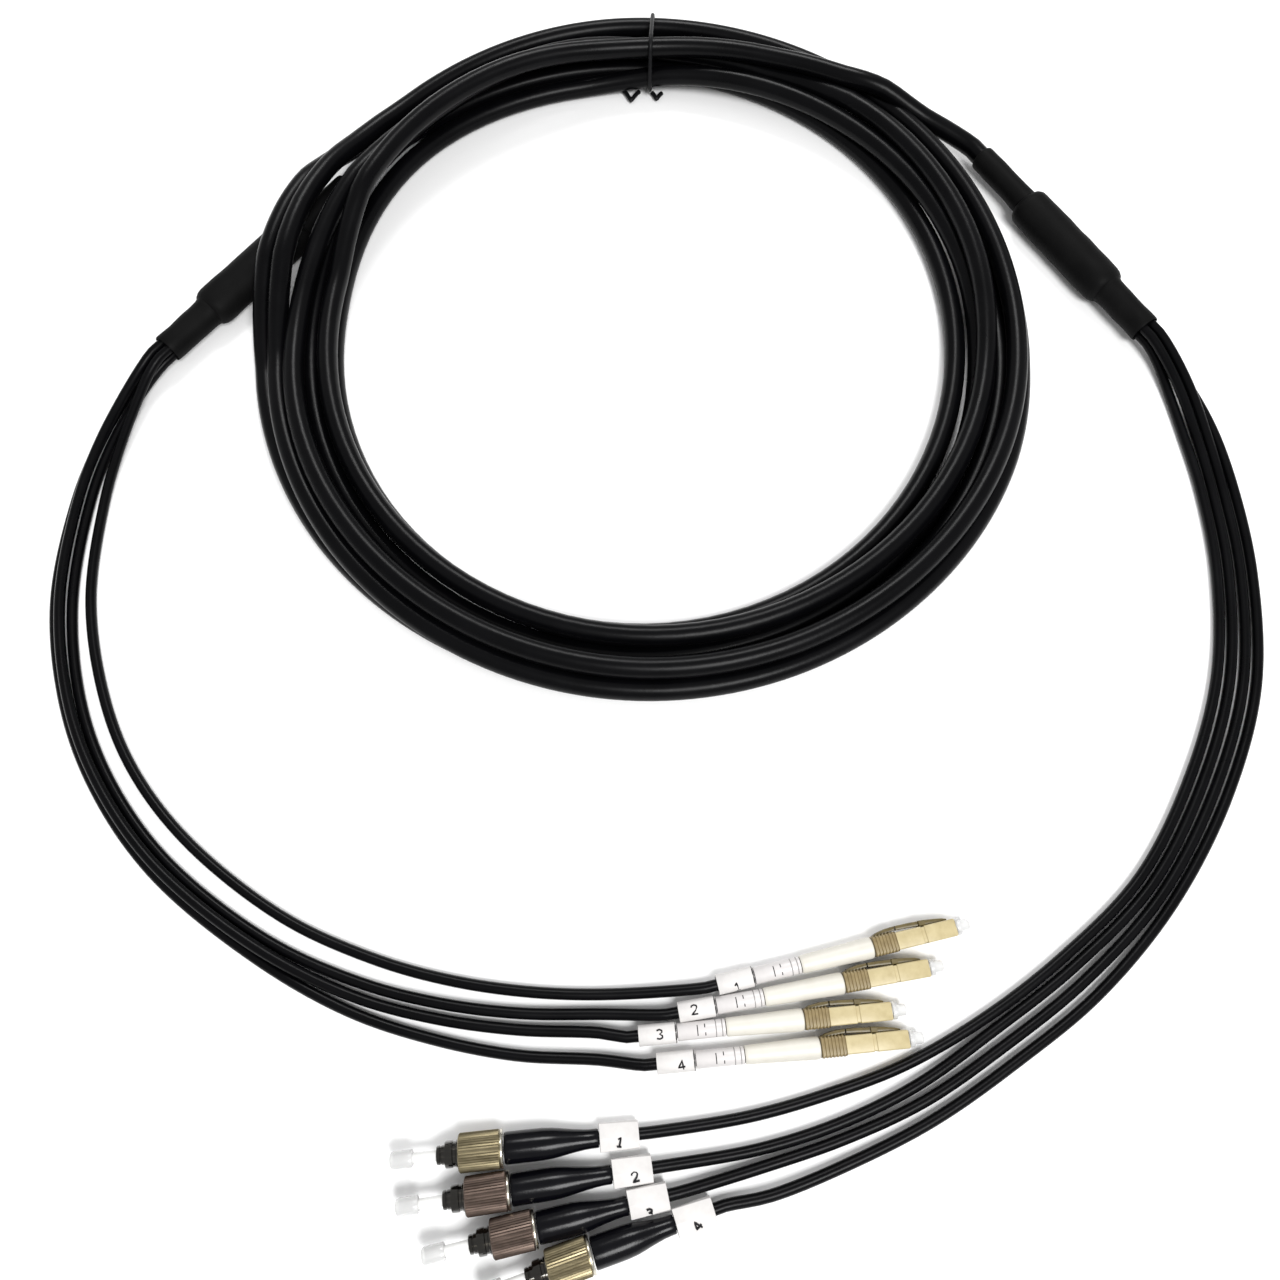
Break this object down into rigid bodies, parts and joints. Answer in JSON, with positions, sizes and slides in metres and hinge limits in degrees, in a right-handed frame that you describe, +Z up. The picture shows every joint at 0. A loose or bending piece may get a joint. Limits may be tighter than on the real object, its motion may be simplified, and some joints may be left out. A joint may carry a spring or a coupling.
{
  "type": "fibre optic breakout cable",
  "caption": "Coiled black fibre optic trunk cable whose ends split, in heat-shrunk breakouts, into legs with square LC plugs and legs with round FC plugs.",
  "frame": {"origin": "centre of the coil, on the surface that it lies on", "axes": "+Z up from that surface, -Y from the coil towards the plugs, +X towards the FC breakout"},
  "size_m": [0.3611, 0.4049, 0.0138],
  "materials": {
    "jacket_black": "semi-gloss cable jacket",
    "heat_shrink_black": "matt heat-shrink",
    "tie_black": "coated wire",
    "housing_beige": "moulded, satin",
    "boot_white": "soft moulded boot",
    "cap_clear": "translucent",
    "label_white": "printed sleeve",
    "nickel": "nickel plate over brass, knurled",
    "boot_black": "smooth boot"
  },
  "bodies": {
    "cable": {"trunk_coil": "jacket_black", "trunk_tail": "jacket_black", "coil_tie": "tie_black", "lc_breakout_trunk_sleeve": "heat_shrink_black", "lc_breakout_body": "heat_shrink_black", "lc_breakout_leg_sleeve": "heat_shrink_black", "fc_breakout_trunk_sleeve": "heat_shrink_black", "fc_breakout_body": "heat_shrink_black", "fc_breakout_leg_sleeve": "heat_shrink_black", "lc_leg_1": "jacket_black", "lc_label_1": "label_white", "lc_marker_1": "cap_clear", "lc_boot_1": "boot_white", "lc_housing_1": "housing_beige", "lc_dust_cap_1": "cap_clear", "lc_leg_2": "jacket_black", "lc_label_2": "label_white", "lc_marker_2": "cap_clear", "lc_boot_2": "boot_white", "lc_housing_2": "housing_beige", "lc_dust_cap_2": "cap_clear", "lc_leg_3": "jacket_black", "lc_label_3": "label_white", "lc_marker_3": "cap_clear", "lc_boot_3": "boot_white", "lc_housing_3": "housing_beige", "lc_dust_cap_3": "cap_clear", "lc_leg_4": "jacket_black", "lc_label_4": "label_white", "lc_marker_4": "cap_clear", "lc_boot_4": "boot_white", "lc_housing_4": "housing_beige", "lc_dust_cap_4": "cap_clear", "fc_leg_1": "jacket_black", "fc_label_1": "label_white", "fc_boot_1": "boot_black", "fc_barrel_1": "nickel", "fc_dust_cap_1": "cap_clear", "fc_leg_2": "jacket_black", "fc_label_2": "label_white", "fc_boot_2": "boot_black", "fc_barrel_2": "nickel", "fc_dust_cap_2": "cap_clear", "fc_leg_3": "jacket_black", "fc_label_3": "label_white", "fc_boot_3": "boot_black", "fc_barrel_3": "nickel", "fc_dust_cap_3": "cap_clear", "fc_leg_4": "jacket_black", "fc_label_4": "label_white", "fc_boot_4": "boot_black", "fc_barrel_4": "nickel", "fc_dust_cap_4": "cap_clear"},
    "fc_nut_1": {"fc_nut_1": "nickel"},
    "fc_nut_2": {"fc_nut_2": "nickel"},
    "fc_nut_3": {"fc_nut_3": "nickel"},
    "fc_nut_4": {"fc_nut_4": "nickel"}
  },
  "joints": [
    {"name": "fc_nut_1_spin", "type": "hinge", "parent": "cable", "child": "fc_nut_1", "pos_m": [-0.038, -0.2439, 0.00475], "axis": [-0.9938, -0.0914, 0.0634], "continuous": true},
    {"name": "fc_nut_2_spin", "type": "hinge", "parent": "cable", "child": "fc_nut_2", "pos_m": [-0.0359, -0.2532, 0.00475], "axis": [-0.9896, -0.1304, 0.061], "continuous": true},
    {"name": "fc_nut_3_spin", "type": "hinge", "parent": "cable", "child": "fc_nut_3", "pos_m": [-0.0292, -0.2618, 0.00475], "axis": [-0.9762, -0.2068, 0.0654], "continuous": true},
    {"name": "fc_nut_4_spin", "type": "hinge", "parent": "cable", "child": "fc_nut_4", "pos_m": [-0.0157, -0.2677, 0.00475], "axis": [-0.9532, -0.2943, 0.0688], "continuous": true}
  ]
}
